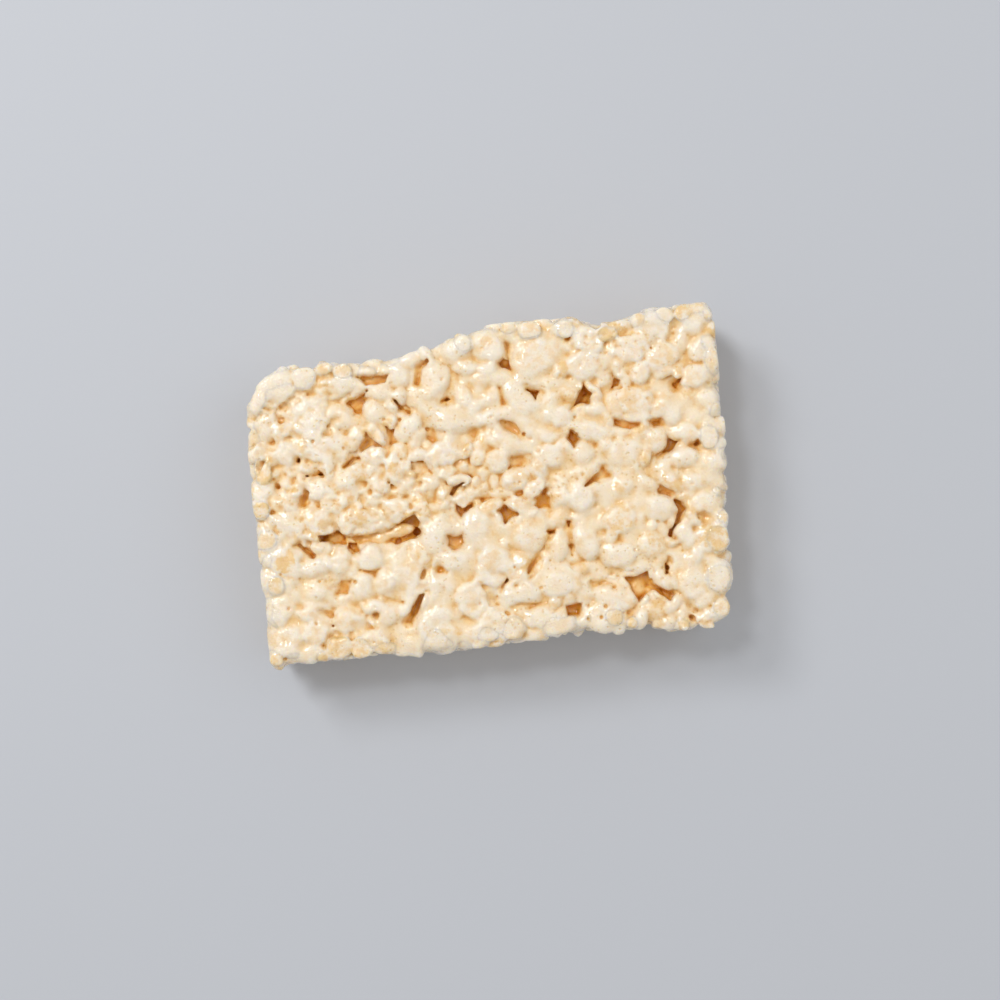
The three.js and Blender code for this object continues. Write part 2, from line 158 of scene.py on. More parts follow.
LUMPS_BACK_RIGHT = [
    (2.2, 28.8, 7.4, 6.0, -30, -0.1, 0.4),
    (2.4, 13.6, 5.8, 3.8, -25, 0.1, 0.0),
    (3.8, 8.6, 8.6, 4.8, -30, 0.0, 0.2),
    (2.0, 5.2, 6.2, 5.2, 20, -0.1, 0.2),
    (-1.8, 6.2, 3.8, 3.2, 60, 0.2, 0.3),
    (8.6, 16.6, 7.6, 6.0, -30, -0.3, 0.2),
    (12.2, 25.2, 10.4, 8.0, 20, -0.4, 0.3),
    (0.6, 22.0, 6.6, 3.6, 0, 0.3, 0.4),
    (1.8, 17.8, 5.0, 3.8, 60, 0.4, 0.4),
    (12.8, 9.3, 7.0, 3.8, -15, 0.2, 0.5),
    (13.0, 4.9, 7.8, 5.2, -20, -0.2, 0.2),
    (16.2, 12.8, 5.6, 4.8, 70, 0.0, 0.2),
    (5.4, 0.8, 6.8, 4.8, 15, 0.1, 0.4),
    (36.4, 29.4, 7.2, 5.8, 10, -0.2, 0.1),
    (45.4, 29.4, 7.4, 6.6, 60, 0.0, 0.3),
    (30.6, 25.0, 7.8, 5.2, -20, -0.3, 0.2),
    (22.6, 28.0, 7.4, 5.2, -30, -0.25, 0.2),
    (21.8, 22.8, 7.4, 6.0, 10, -0.35, 0.2),
    (38.0, 22.6, 7.8, 5.8, 20, -0.4, 0.4),
    (33.2, 20.0, 4.8, 3.8, 60, -0.25, 0.2),
    (23.0, 13.5, 4.2, 3.2, 0, 0.1, 0.0),
    (22.6, 9.2, 11.0, 4.6, -14, 0.1, 0.2),
    (28.4, 4.2, 9.4, 7.2, 8, -0.1, 0.2),
    (34.8, 5.9, 5.8, 5.0, 50, 0.0, 0.3),
    (19.6, 4.5, 5.8, 5.2, 60, 0.1, 0.1),
    (41.4, 6.7, 5.8, 4.2, -15, 0.1, 0.4),
    (46.3, 12.9, 5.4, 4.8, 80, 0.1, 0.1),
    (39.2, 11.2, 5.6, 3.8, 58, 0.2, 0.0),
    (44.6, 18.2, 7.6, 5.2, 15, -0.2, 0.3),
    (45.6, 23.6, 6.4, 5.2, 80, 0.0, 0.3),
    (31.4, 14.2, 8.4, 6.0, -15, -0.3, 0.5),
    (40.0, 1.6, 6.8, 4.4, 10, 0.0, 0.2),
    (46.0, 0.4, 5.8, 5.0, -20, 0.1, 0.4),
    (31.6, 10.9, 5.8, 2.8, -12, 0.1, 0.1),
    (18.0, 17.4, 4.8, 3.6, -40, 0.2, 0.7),
    (29.2, 30.0, 6.0, 3.0, -8, 0.4, 0.8),
]
LUMPS_FRONT_LEFT = [
    (-43.0, -2.9, 6.8, 3.8, -10, 0.1, 0.0),
    (-43.8, -10.0, 8.0, 6.6, 100, 0.0, 1.0),
    (-36.4, -12.6, 7.4, 4.6, 15, 0.1, 0.0),
    (-35.6, -9.2, 5.0, 2.8, -18, 0.6, 0.2),
    (-32.2, -12.0, 6.6, 4.6, 80, 0.2, 0.3),
    (-26.0, -12.2, 5.8, 4.6, 60, 0.0, 0.0),
    (-21.8, -11.2, 4.8, 3.6, 60, 1.6, 0.8),
    (-18.6, -16.8, 9.6, 7.6, -62, 0.0, 0.3),
    (-23.6, -17.8, 4.8, 4.6, 0, 0.3, 0.2),
    (-28.4, -18.6, 7.0, 4.8, 82, 0.2, 0.1),
    (-31.4, -24.0, 8.6, 5.4, 14, 0.1, 0.4),
    (-38.4, -25.6, 7.8, 5.6, 60, 0.0, 0.3),
    (-23.2, -24.0, 6.2, 4.8, 28, 0.1, 0.2),
    (-45.2, -27.4, 7.4, 6.8, 0, 0.0, 0.3),
    (-44.8, -21.0, 7.2, 5.8, 30, 0.1, 0.1),
    (-47.2, -14.8, 5.8, 4.0, 100, 0.2, 0.1),
    (-40.4, -30.4, 6.2, 3.8, 12, 0.5, 0.2),
    (-38.4, -17.8, 7.2, 4.8, -8, 0.6, 0.4),
    (-26.0, -29.0, 8.0, 5.0, 0, 0.2, 0.2),
    (-27.6, -3.6, 8.0, 4.8, -5, -0.1, 0.8),
    (-35.6, -3.4, 6.8, 4.8, 0, 0.0, 0.5),
    (-47.0, -4.6, 4.8, 3.6, 80, 0.5, 0.7),
    (-13.0, -9.8, 8.2, 6.0, 68, 0.0, 0.1),
    (-3.4, -7.2, 8.0, 7.0, 50, 0.0, 0.0),
    (-8.4, -6.2, 4.2, 3.2, -30, 1.4, 0.8),
    (-8.6, -14.6, 7.2, 4.6, -10, -0.1, 0.3),
    (-12.0, -18.8, 6.2, 4.2, -18, 0.2, 0.2),
    (-13.2, -25.2, 8.6, 5.2, 32, 0.0, 0.1),
    (-6.8, -22.0, 7.8, 5.2, 8, -0.2, 0.2),
    (-20.0, -2.6, 6.6, 4.4, 10, 0.1, 0.4),
]
LUMPS_FRONT_RIGHT = [
    (6.8, -10.8, 8.6, 7.6, -62, 0.0, 0.3),
    (5.2, -4.4, 5.0, 3.2, -18, 0.2, 0.4),
    (12.7, -13.8, 7.2, 4.2, 80, 0.4, 0.1),
    (-0.8, -15.6, 8.2, 6.4, 0, -0.3, 0.4),
    (4.4, -22.4, 8.8, 5.2, -10, -0.3, 0.1),
    (-2.6, -28.0, 9.0, 5.4, -5, 0.0, 0.2),
    (11.4, -21.4, 8.8, 5.8, 0, -0.3, 0.1),
    (7.6, -27.6, 8.2, 5.0, 20, 0.0, 0.1),
    (18.6, -4.0, 6.8, 5.8, 62, -0.2, 0.0),
    (33.6, -7.7, 8.6, 6.6, -18, 0.0, 0.0),
    (26.0, -9.2, 8.4, 6.4, 30, -0.3, 0.7),
    (18.5, -13.4, 8.2, 5.4, -70, 0.0, 0.3),
    (24.6, -16.6, 8.6, 6.0, -12, -0.1, 0.2),
    (31.8, -15.4, 7.8, 6.2, -62, 0.1, 0.8),
    (38.6, -13.0, 5.8, 4.0, 60, 0.1, 0.1),
    (39.4, -23.2, 9.4, 7.6, 98, 0.0, 0.1),
    (33.3, -22.9, 5.2, 3.4, -50, 0.3, 0.4),
    (44.0, -15.4, 7.6, 6.4, -20, -0.2, 0.9),
    (44.2, -8.0, 6.8, 5.4, 0, 0.1, 0.3),
    (45.2, -23.6, 7.0, 5.0, 80, 0.1, 0.4),
    (22.6, -25.6, 7.6, 6.4, -50, 0.0, 0.2),
    (31.0, -28.8, 7.8, 4.2, -8, 0.5, 0.7),
    (37.2, -30.6, 6.2, 4.0, -60, 0.4, 0.4),
    (42.8, -30.6, 6.8, 3.2, 8, 0.4, 0.1),
    (41.4, -3.4, 7.0, 4.2, 0, 0.1, 0.4),
    (27.4, -2.8, 6.4, 4.6, 20, 0.1, 0.6),
    (20.4, -30.4, 6.4, 3.8, 0, 0.3, 0.1),
]
LUMPS = np.array(LUMPS_BACK_LEFT + LUMPS_BACK_RIGHT + LUMPS_FRONT_LEFT + LUMPS_FRONT_RIGHT)

# The cut edge seen from above, anticlockwise from the front left corner, in half lengths and half widths.
EDGE = np.array([
    (-0.967, -0.985), (-0.612, -0.991), (-0.204, -1.015), (0.245, -0.985), (0.633, -0.997), (0.771, -1.045),
    (0.93, -0.972), (0.957, -0.615), (0.986, -0.062), (1.0, 0.431), (1.01, 0.769), (0.975, 1.005),
    (0.735, 0.995), (0.551, 0.954), (0.327, 1.03), (0.041, 0.997), (-0.143, 0.935), (-0.347, 0.865),
    (-0.776, 0.872), (-0.924, 0.785), (-0.99, 0.492), (-1.0, 0.0), (-0.988, -0.462), (-0.998, -0.861),
]) * (LENGTH / 2, WIDTH / 2)

FAR = 1e9  # farther than anything on the block
TINY = 1e-9  # keeps a division off zero


def smooth_loop(corners, steps):
    """A closed line that bends smoothly through its corners, with so many steps from each to the next."""
    before, after, beyond = (np.roll(corners, shift, axis=0) for shift in (1, -1, -2))
    rows = []
    for t in np.arange(steps) / steps:
        rows.append(0.5 * (
            2 * corners + (after - before) * t
            + (2 * before - 5 * corners + 4 * after - beyond) * t ** 2
            + (3 * corners - before - 3 * after + beyond) * t ** 3
        ))
    return np.stack(rows, axis=1).reshape(-1, 2)


edge_line = smooth_loop(EDGE, steps=16)
edge_steps = np.roll(edge_line, -1, axis=0) - edge_line
edge_reached = np.concatenate([[0], np.cumsum(np.hypot(*edge_steps.T))])
edge_length = edge_reached[-1]


def on_edge(u):
    """The place on the cut edge at u along it, and the way along it."""
    i = np.searchsorted(edge_reached, u % edge_length, side="right") - 1
    along = edge_steps[i] / np.hypot(*edge_steps[i])
    return edge_line[i] + along * (u % edge_length - edge_reached[i]), along


def out_of(line, x, y):
    """How far places lie outside a closed line, and less than nothing inside it."""
    nearest = np.full(x.shape, FAR)
    odd = np.zeros(x.shape, bool)
    for (ax, ay), (dx, dy) in zip(line, np.roll(line, -1, axis=0) - line):
        share = np.clip(((x - ax) * dx + (y - ay) * dy) / (dx * dx + dy * dy), 0, 1)
        nearest = np.minimum(nearest, np.hypot(x - ax - share * dx, y - ay - share * dy))
        passed = (ay > y) != (ay + dy > y)
        odd ^= passed & (x < ax + (y - ay) * dx / (dy or TINY))
    return np.where(odd, -nearest, nearest)


# The grains fall by chance, with a fixed seed, so that they lie the same way each time.
chance = np.random.default_rng(4127)
SPAN_X = (-49, 49)  # where grains are tried
SPAN_Y = (-34, 34)
GRAIN_SPREAD = (0.9, 1.1)  # how far lengths differ from the size asked for
GRAIN_SLIMNESS = (0.5, 0.7)  # width over length


def reach(long, wide, turn, direction):
    """How far an oval goes from its middle in a direction."""
    return 0.5 / np.hypot(np.cos(direction - turn) / long, np.sin(direction - turn) / wide)


def strew(laid, span_u, span_v, sizes, crowding, tries, margin=None, wrap=math.inf):
    """Ovals (u, v, long, wide, turn) where there is room beside those laid and each other, the largest first.

    With a margin, they stay that far inside the cut edge. With a wrap, u runs round in a ring of that length.
    """
    size = sizes[0] + (sizes[1] - sizes[0]) * np.sqrt(np.arange(tries) / tries)
    u, v = chance.uniform(*span_u, tries), chance.uniform(*span_v, tries)
    long = size * chance.uniform(*GRAIN_SPREAD, tries)
    wide = long * chance.uniform(*GRAIN_SLIMNESS, tries)
    turn = chance.uniform(0, math.pi, tries)
    ovals = np.stack([u, v, long, wide, turn], axis=1)
    if margin is not None:
        ovals = ovals[out_of(edge_line, u, v) < -margin]
    others = np.zeros((len(laid) + len(ovals), 5))
    others[:len(laid)] = np.array(laid).reshape(-1, 5)
    count = len(laid)
    for oval in ovals:
        du, dv = others[:count, 0] - oval[0], others[:count, 1] - oval[1]
        if math.isfinite(wrap):
            du = du - wrap * np.round(du / wrap)
        direction = np.arctan2(dv, du)
        room = reach(*oval[2:], direction) + reach(*others[:count, 2:].T, direction)
        if (np.hypot(du, dv) >= crowding * room).all():
            others[count] = oval
            count += 1
    return others[len(laid):count]


def lump(place, along, out, long, wide, thick, toast, bend):
    """A grain in its coat: where its middle lies, its long and thin ways, its size and its colour."""
    across = np.cross(out, along)
    return {
        "place": np.array(place), "ways": np.array([along, across, out]),
        "half": np.array([long, wide, thick]) / 2, "toast": toast, "bend": bend,
    }


def tilted(out, along, tilt):
    """Along and out, rocked so that along leans out of its face by tilt."""
    along, out = np.array(along, float), np.array(out, float)
    return along * math.cos(tilt) + out * math.sin(tilt), out * math.cos(tilt) - along * math.sin(tilt)


THICK = 0.96  # how thick a lump is for its width
THICKEST = 5.2
COAT = 0.6  # what its coat adds to the length and width of a lump that is listed
CROWN_DEPTH = 0.12  # how far below the full height the crowns lie, where they aren't sunk
TOP_ROCK = 0.14  # how far the lumps of each face mostly lean, in radians
WALL_ROCK = 0.1
FOOT_ROCK = 0.05
BEND = 0.04  # how much the lumps of the top curve sideways, and at most
MOST_BEND = 0.06


def top_lump(x, y, long, wide, turn, sunk, toast):
    """A lump with its crown so far sunk from the top."""
    tilt = chance.normal(0, TOP_ROCK)
    bend = np.clip(chance.normal(0, BEND), -MOST_BEND, MOST_BEND)
    along, out = tilted((0, 0, 1), (math.cos(turn), math.sin(turn), 0), tilt)
    thick = min(THICK * wide, THICKEST)
    middle = THICKNESS - CROWN_DEPTH - sunk - thick / 2
    return lump((x, y, middle), along, out, long, wide, thick, toast, bend)


def listed_ovals(rows):
    """The ovals of lumps or holes that are listed."""
    return [(x, y, long, wide, math.radians(turn)) for x, y, long, wide, turn, *_ in rows]


def listed_lumps(rows, coat):
    """The lumps of the top that are listed, widened by their coat."""
    return [
        top_lump(x, y, long + coat, wide + coat, math.radians(turn), sunk, toast)
        for x, y, long, wide, turn, sunk, toast in rows
    ]


def strewn_lumps(ovals, sunk, toast):
    """Lumps of the top where ovals were strewn, sunk and toasted as chance has it between two ends."""
    return [top_lump(*oval, chance.uniform(*sunk), chance.uniform(*toast)) for oval in ovals]


PINHOLE_LEAST = 0.16
PINHOLE_MORE = 0.3


def pinhole(place, way):
    """Where a bubble burst: a place on its axis, the way that it opens, and its radius, mostly small."""
    return place, way, PINHOLE_LEAST + PINHOLE_MORE * chance.random() ** 2


# The lumps of the top: those listed, and others in the room left between them.
GAP_ROOM = 2  # the lumps strewn stay clear of an oval of this size in the middle of each opening
gap_ovals = listed_ovals(HOLES)
gap_ovals += [(*np.mean(corners, axis=0), GAP_ROOM, GAP_ROOM, 0) for _, *corners in OPENINGS]
strewn = strew(
    listed_ovals(LUMPS) + gap_ovals, SPAN_X, SPAN_Y, sizes=(7.4, 4.4), crowding=0.64, tries=9000, margin=1.2,
)
top_lumps = listed_lumps(LUMPS, coat=COAT) + strewn_lumps(strewn, sunk=(0, 1.3), toast=(0, 1))

# Pinholes in the top, between two corners. Those in the cut sides are added further on.
TOP_HOLES = 140
HOLES_BETWEEN = ((-48, -32), (48, 32))
pinholes = [
    pinhole((x, y, THICKNESS - 1), (0, 0, 1)) for x, y in chance.uniform(*HOLES_BETWEEN, (TOP_HOLES, 2))
]

# The next rice down, which shows between the lumps.
under_ovals = strew([], SPAN_X, SPAN_Y, sizes=(8, 4.6), crowding=0.62, tries=6000, margin=1.5)
top_lumps += strewn_lumps(under_ovals, sunk=(0.9, 2.3), toast=(0.2, 1))

# Rice that shows down in the gaps: the same list of values as for the lumps, then what is strewn round it.
DEEP_ONES = [
    (-19.5, -7.3, 6.4, 2.6, 10, 1.9, 0.9), (-23.6, -8.3, 4.2, 2.8, -10, 2.3, 0.7),
    (-33.2, -7.4, 4.6, 2.6, 0, 3.4, 1), (28.2, -23.8, 5.4, 3.6, 78, 2.7, 0.9),
    (31.4, -25.6, 4.6, 2.8, -40, 2.9, 1), (-21.4, 24.3, 6, 3, 5, 2.6, 0.8),
    (-25.4, 19.9, 5, 3.4, 40, 2.9, 0.9), (6.2, 26.6, 5, 2.6, 80, 2.9, 0.9),
]
deep_ovals = strew(
    listed_ovals(DEEP_ONES), SPAN_X, SPAN_Y, sizes=(7, 4.4), crowding=0.68, tries=6000, margin=1.5,
)
deep_lumps = listed_lumps(DEEP_ONES, coat=0) + strewn_lumps(deep_ovals, sunk=(3.2, 5.6), toast=(0.4, 1))

# The lumps of the cut sides and of the resting face, which meet those of the top.
WALL_BOTTOM = 0.5
WALL_TOP = 20.6
WALL_SUNK = (-0.5, 1.3)
FOOT_LIFT = (-0.9, 0.5)
CUT_TOAST = (0, 0.9)
WALL_HOLES = 160
HOLES_UP = (1, 20)

for u, v in zip(chance.uniform(0, edge_length, WALL_HOLES), chance.uniform(*HOLES_UP, WALL_HOLES)):
    (x, y), (ax, ay) = on_edge(u)
    pinholes.append(pinhole((x, y, v), (ay, -ax, 0)))

wall_ovals = strew(
    [], (0, edge_length), (WALL_BOTTOM, WALL_TOP), sizes=(8.6, 3.8), crowding=0.74, tries=9000,
    wrap=edge_length,
)
wall_lumps = []
for u, v, long, wide, turn in wall_ovals:
    (x, y), (ax, ay) = on_edge(u)
    outward = np.array([ay, -ax, 0.0])
    along = np.array([ax, ay, 0]) * math.cos(turn) + np.array([0, 0, 1]) * math.sin(turn)
    along, out = tilted(outward, along, chance.normal(0, WALL_ROCK))
    thick = THICK * wide
    sunk = chance.uniform(*WALL_SUNK) + thick / 2
    place = (x - outward[0] * sunk, y - outward[1] * sunk, v)
    wall_lumps.append(lump(place, along, out, long, wide, thick, chance.uniform(*CUT_TOAST), 0))

foot_ovals = strew([], SPAN_X, SPAN_Y, sizes=(9.0, 3.8), crowding=0.76, tries=6000, margin=2)
foot_lumps = []
for x, y, long, wide, turn in foot_ovals:
    along, out = tilted((0, 0, -1), (math.cos(turn), math.sin(turn), 0), chance.normal(0, FOOT_ROCK))
    thick = THICK * wide
    place = (x, y, thick / 2 + chance.uniform(*FOOT_LIFT))
    foot_lumps.append(lump(place, along, out, long, wide, thick, chance.uniform(*CUT_TOAST), 0))


def knot_weights(axis, size, first, count):
    """How much each knot of a row counts at each place of an axis, so that what lies between is smooth."""
    away = np.abs((axis[:, None] - first) / size - np.arange(count)[None, :])
    near = 2 / 3 - away ** 2 + away ** 3 / 2
    far = np.clip(2 - away, 0, None) ** 3 / 6
    return np.where(away < 1, near, far).astype(np.float32)


CLOUD_LOW = np.array([-54, -38, -4])  # the low corner and the size of the room that the swells fill
CLOUD_ROOM = (108, 76, 30)
KNOT_SPREAD = 2.4  # how far the knots differ, so that the swells between them reach about 1


def cloud(seed, size, axes):
    """Smooth random swells about size across, mostly from minus 1 to 1, the same at a place in any grid."""
    counts = [int(length / size) + 5 for length in CLOUD_ROOM]  # two more at each end
    knots = np.random.default_rng(seed).normal(0, KNOT_SPREAD, counts).astype(np.float32)
    for axis, first, count in zip(axes, CLOUD_LOW - 2 * size, counts):
        knots = np.tensordot(knots, knot_weights(axis, size, first, count), axes=(0, 1))
    return knots


def softer_max(a, b, soft):
    """The larger of two, rounded over where they meet."""
    mix = np.clip(0.5 + 0.5 * (a - b) / soft, 0, 1)
    return b + (a - b) * mix + soft * mix * (1 - mix)


def softer_min(a, b, soft):
    """The smaller of two, filled in where they meet."""
    return -softer_max(-a, -b, soft)


REACH_OUT = 2.6  # how far round a lump its pull on the marshmallow is followed
FLAT = np.float32(0.45)  # how far the crown of a lump is from round towards pressed flat
GRID_TINY = 1e-6  # keeps a division off zero in the coarser numbers of a grid


def around(item, axes):
    """The part of a grid near a lump, and how far each place there is outside it."""
    half = item["half"]
    rooms = np.sqrt(((item["ways"] * half[:, None]) ** 2).sum(axis=0)) + REACH_OUT
    window, local = [], []
    for axis, middle, room in zip(axes, item["place"], rooms):
        start, stop = np.searchsorted(axis, (middle - room, middle + room))
        window.append(slice(start, stop))
        local.append((axis[start:stop] - middle).astype(np.float32))
    if min(len(part) for part in local) == 0:
        return None, None
    x, y, z = local[0][:, None, None], local[1][None, :, None], local[2][None, None, :]
    along, across, out = (way[0] * x + way[1] * y + way[2] * z for way in item["ways"].astype(np.float32))
    across = across - np.float32(item["bend"]) * (along ** 2 - half[0] ** 2 / 3)
    a, b, c = along / half[0], across / half[1], out / half[2]
    far = np.sqrt(a * a + b * b + c * c * (1 - FLAT + FLAT * c * c)) + GRID_TINY
    crown = c * (1 - FLAT + 2 * FLAT * c * c)
    steep = np.sqrt((a / half[0]) ** 2 + (b / half[1]) ** 2 + (crown / half[2]) ** 2) + GRID_TINY
    return tuple(window), far * (far - 1) / steep


MOST_PULL = 30  # as a power of e, within what the numbers of a grid can hold
LEAST_PULL = 1e-12
BARE_LIMIT = 6  # farther than this from a grain is all the same


def pull_of(away, string):
    """How strongly a lump holds the marshmallow at places so far away."""
    return np.exp(np.clip(-away / string, -MOST_PULL, MOST_PULL))


def pile(lumps, axes, string):
    """The lumps of a layer run together: how far outside them each place is, and its colour.

    The last of the three is how far away the nearest single lump is.
    """
    shape = [len(axis) for axis in axes]
    pull = np.zeros(shape, np.float32)
    colour = np.zeros(shape, np.float32)
    bare = np.full(shape, BARE_LIMIT, np.float32)
    for item in lumps:
        window, away = around(item, axes)
        if window is None:
            continue
        force = pull_of(away, string[window])
        pull[window] += force
        colour[window] += force * np.float32(item["toast"])
        bare[window] = np.minimum(bare[window], away)
    colour /= np.maximum(pull, LEAST_PULL)
    return -string * np.log(np.maximum(pull, TINY)), colour, bare


SAG = 0.07  # how far the side of an opening is drawn in, for its length


def hollowed_sides(corners):
    """A ring of corners with each side drawn in a little, as between rounded lumps."""
    middle = corners.mean(axis=0)
    after = np.roll(corners, -1, axis=0)
    sides = after - corners
    inward = middle - (corners + after) / 2
    inward /= np.hypot(*inward.T)[:, None] + TINY
    sag = SAG * np.hypot(*sides.T)[:, None] * inward
    ring = [corners, corners + sides / 3 + sag, corners + sides * 2 / 3 + sag]
    return np.stack(ring, axis=1).reshape(-1, 2)


GAP_REACH = 3  # how far round an opening its slope is followed
NARROWING = 0.08  # how much an opening closes in for each millimetre down
OPENING_WIDER = 0.16  # how much the mouths are opened, as their rims are rounded over
HOLE_WIDER = 0.08
GAP_FOOT = 0.8  # how round a gap is between its walls and its floor
GAP_LIMIT = 9  # farther than this from a gap is all the same


def gaps(axes, x, y, below, lumpy, ragged):
    """How far outside the openings and the rounder holes each place is."""
    xs, ys, _ = axes
    gap = np.full(lumpy.shape, GAP_LIMIT, np.float32)

    def sink(part, mouth, depth, wider):
        side = mouth.astype(np.float32)[:, :, None] + NARROWING * below + ragged[part] - wider
        bottom = below - depth + 0.5 * lumpy[part]
        gap[part] = np.minimum(gap[part], softer_max(side, bottom, GAP_FOOT))

    for depth, *corners in OPENINGS:
        ring = hollowed_sides(np.array(corners))
        near = (np.abs(axis - row.mean()) < np.ptp(row) / 2 + GAP_REACH for axis, row in zip(axes, ring.T))
        part = np.ix_(*near)
        sink(part, out_of(ring, x[part], y[part]), depth, OPENING_WIDER)
    for middle_x, middle_y, long, wide, turn, depth in HOLES:
        room = long / 2 + GAP_REACH
        part = np.ix_(np.abs(xs - middle_x) < room, np.abs(ys - middle_y) < room)
        way = math.radians(turn)
        dx, dy = x[part] - middle_x, y[part] - middle_y
        share = np.hypot(
            (dx * math.cos(way) + dy * math.sin(way)) / (long / 2),
            (dy * math.cos(way) - dx * math.sin(way)) / (wide / 2),
        )
        sink(part, (share - 1) * wide / 2, depth, HOLE_WIDER)
    return gap


PINHOLE_ASIDE = 0.9  # how far round a pinhole, and how far along it, the block is worked on
PINHOLE_ALONG = 2.4
PINHOLE_DEPTH = 0.9  # over its radius
PINHOLE_FOOT = 0.2  # how round a pinhole is at its floor and at its rim
PINHOLE_RIM = 0.25


def prick(body, axes):
    """Makes the pinholes in the block, each nearly as deep as its radius."""
    for place, way, radius in pinholes:
        rooms = PINHOLE_ASIDE + PINHOLE_ALONG * np.abs(way)
        part = np.ix_(*(np.abs(axis - middle) < room for axis, middle, room in zip(axes, place, rooms)))
        dx, dy, dz = (axis[spots] - middle for axis, spots, middle in zip(axes, part, place))
        along = dx * way[0] + dy * way[1] + dz * way[2]
        aside = np.sqrt((dx - along * way[0]) ** 2 + (dy - along * way[1]) ** 2 + (dz - along * way[2]) ** 2)
        here = body[part]
        pit = softer_max(aside - radius, -here - PINHOLE_DEPTH * radius, PINHOLE_FOOT)
        body[part] = softer_max(here, -pit, PINHOLE_RIM)


JOINT = 0.17  # how softly neighbouring lumps run together, how far that varies, and its ends
JOINT_VARIES = 0.11
JOINT_ENDS = (0.06, 0.4)
FILM_DEPTH = 1.8  # how deep below the faces the film of marshmallow between the lumps lies, and its ends
FILM_ENDS = (0.8, 3.4)
FILM_FALL = 1.8  # how much lower the film lies at the rim of a gap, and how steeply it goes down to that
FILM_STEEP = 1.3
FILM_LOWEST = 2
BED_DEPTH = 6.5  # below this the block has no gaps
RIM = 0.95  # how round the rims of the gaps are
FACE_JOINT = 0.5  # how softly the lumps of the sides and the foot, and the bed, run into the rest
BED_JOINT = 0.2
CUT_EDGE = 0.35  # how round a lump is where it is cut or pressed off
PRESSED_EDGE = 1.8  # how round the block is between its top and its sides, and at its foot
FOOT_EDGE = 0.9
LOWEST = (-48.9, -33.8, 0)  # the skin stays between these, just inside the box of the plain solid
HIGHEST = (49.4, 33.15, 21.95)
LIMIT_EDGE = 0.25


def treat(axes):
    """The block on a grid: how far outside it each place is, and what its skin looks like there."""
    xs, ys, zs = axes
    x, y = np.meshgrid(xs, ys, indexing="ij")
    z = zs[None, None, :]
    below = np.clip(THICKNESS - z, 0, None)
    edge = out_of(edge_line, x, y).astype(np.float32)[:, :, None]
    swell = cloud(seed=1, size=9.0, axes=axes)
    lumpy = cloud(seed=2, size=3.0, axes=axes)
    rough = cloud(seed=3, size=1.3, axes=axes)
    grit = cloud(seed=4, size=0.62, axes=axes)
    string = np.clip(JOINT + JOINT_VARIES * cloud(seed=5, size=6.5, axes=axes), *JOINT_ENDS)

    # The plain block, and the shape to which the lumps are cut and pressed.
    pressed = z - THICKNESS + 0.1 + 0.08 * swell + 0.1 * lumpy
    block = softer_max(softer_max(pressed, edge - 0.2 + 0.35 * lumpy, PRESSED_EDGE), -z, FOOT_EDGE)
    cut = softer_max(softer_max(pressed, edge - 0.8 + 0.4 * lumpy, 1.2), -z, FOOT_EDGE)

    # The lumps on the film between them, with the gaps, and the bed of rice that shows in the gaps.
    top, top_colour, top_bare = pile(top_lumps, axes, string)
    wall, wall_colour, wall_bare = pile(wall_lumps, axes, string)
    foot, foot_colour, foot_bare = pile(foot_lumps, axes, string)
    deep, deep_colour, _ = pile(deep_lumps, axes, string)
    gap = gaps(axes, x, y, below, lumpy, ragged=0.14 * rough + 0.10 * lumpy)
    film = block + np.clip(FILM_DEPTH + 0.8 * swell + 0.5 * lumpy, *FILM_ENDS)
    film = film + np.clip(FILM_FALL - FILM_STEEP * gap, 0, FILM_LOWEST)
    body = softer_min(top, film, 0.3 + 1.6 * string)
    body = softer_min(body, wall, FACE_JOINT)
    body = softer_min(body, foot, FACE_JOINT)
    body = softer_max(body, -gap, RIM)
    bed = softer_min(deep, block + BED_DEPTH, 0.6)
    body = softer_min(body, bed, BED_JOINT)
    body = softer_max(body, cut, CUT_EDGE)

    # The fine grain, the pinholes and the outermost limits.
    body = body + 0.08 * rough + grit * (0.04 + 0.07 * np.clip(swell, 0, 1))
    prick(body, axes)
    for way, low, high in zip((x[:, :, None], y[:, :, None], z), LOWEST, HIGHEST):
        body = softer_max(body, np.maximum(low - way, way - high), LIMIT_EDGE)

    # Which piece has a place, less than nothing for the top one, and what the lumps there look like.
    side_bare = np.minimum(wall_bare, foot_bare)
    owner = top_bare - side_bare + 0.15 * (edge - (z - THICKNESS))
    pulls = [pull_of(layer, string) for layer in (top, wall, foot, deep)]
    colours = (top_colour, wall_colour, foot_colour, deep_colour)
    toast = sum(pull * colour for pull, colour in zip(pulls, colours)) / sum(pulls)
    return {
        "body": body, "owner": owner, "toast": toast, "web": np.minimum(top_bare, side_bare), "depth": -block,
    }


CUBE = [(i, j, k) for i in (0, 1) for j in (0, 1) for k in (0, 1)]  # the corners of a cell
JUST_OUTSIDE = 0.02


def corner(knot, whole=None):
    """The slices of a grid that take one corner of every cell, with the axis named whole left as it is."""
    return tuple(slice(None) if axis == whole else slice(k, k - 1 or None) for axis, k in enumerate(knot))


